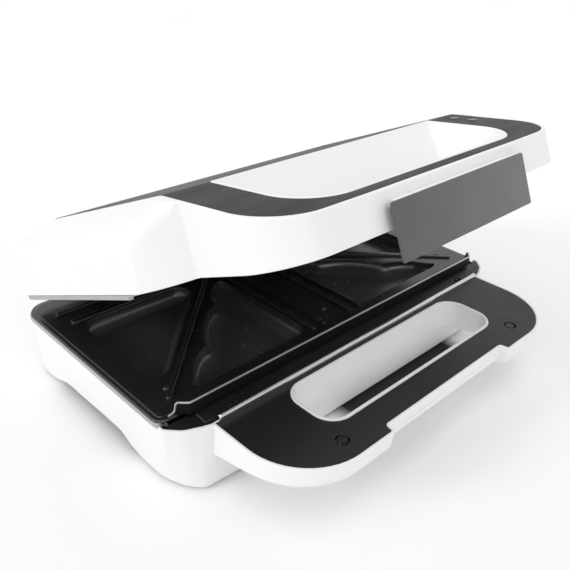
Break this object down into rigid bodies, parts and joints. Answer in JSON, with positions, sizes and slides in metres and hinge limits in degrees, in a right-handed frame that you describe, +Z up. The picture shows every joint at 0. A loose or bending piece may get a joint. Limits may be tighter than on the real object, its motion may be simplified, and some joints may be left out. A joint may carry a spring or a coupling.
{
  "type": "sandwich toaster",
  "caption": "Hinged sandwich toaster with triangular pocket plates, hand openings in both casings and a drop-down latch clip.",
  "frame": {"origin": "centre of the bounding box on the plane the feet stand on, with the lid at rest half open", "axes": "+Z up, -Y towards the handle and the user, X across the width along the hinge"},
  "size_m": [0.27, 0.2345, 0.1531],
  "materials": {
    "white_shell": "smooth satin-gloss white moulding",
    "white_liner": "smooth satin white moulding",
    "black_plastic": "fine-textured black moulding",
    "deck_black": "satin black moulding with a faint sheen",
    "dark_panel": "dark grey panel with a faint brushed mottle",
    "nonstick": "cast aluminium under a black nonstick coating",
    "silver_trim": "satin silver trim band",
    "polished_trim": "polished bead",
    "element_sheath": "heat-darkened steel sheath",
    "aluminium_sheet": "bright rolled sheet",
    "steel": "zinc-plated steel",
    "dark_steel": "blackened steel",
    "rubber": "matt rubber",
    "ceramic": "glazed ceramic and steel disc",
    "brass_part": "brass case",
    "terminal_plastic": "natural nylon",
    "wire_sleeve": "glass-braid sleeve",
    "lens_smoke": "smoked translucent lens",
    "board": "phenolic board",
    "lamp_glass": "small neon lamp",
    "latch_grey": "smooth mid-grey clip"
  },
  "bodies": {
    "base": {"base_shell": "white_shell", "bottom_cover": "black_plastic", "base_deck": "deck_black", "front_trim_strip": "polished_trim", "lower_plate": "nonstick", "lower_trim_ring": "silver_trim", "rubber_feet": "rubber", "lower_heating_element": "element_sheath", "lower_reflector": "aluminium_sheet", "lower_plate_screws": "steel", "thermostat": "ceramic", "thermal_fuse": "brass_part", "terminal_block": "terminal_plastic", "base_wiring": "wire_sleeve", "cord_gland": "rubber", "deck_screws": "dark_steel", "cover_screws": "steel", "hinge_pins": "steel"},
    "lid": {"lid_shell": "white_shell", "lid_inlay": "dark_panel", "lid_handle_liner": "white_liner", "lid_deck": "deck_black", "upper_plate": "nonstick", "upper_trim_ring": "silver_trim", "upper_heating_element": "element_sheath", "upper_reflector": "aluminium_sheet", "upper_plate_screws": "steel", "power_lens": "lens_smoke", "ready_lens": "lens_smoke", "lamp_board": "board", "lamps": "lamp_glass", "lid_deck_screws": "dark_steel", "latch_pin": "steel"},
    "latch": {"latch_clip": "latch_grey"}
  },
  "joints": [
    {"name": "lid_hinge", "type": "hinge", "parent": "base", "child": "lid", "pos_m": [0, 0.10925, 0.053], "axis": [-1, 0, 0], "range_deg": [-24.25, 75.75]},
    {"name": "latch_hinge", "type": "hinge", "parent": "lid", "child": "latch", "pos_m": [0, -0.09658, 0.14802], "axis": [-1, 0, 0], "range_deg": [0, 95]}
  ]
}
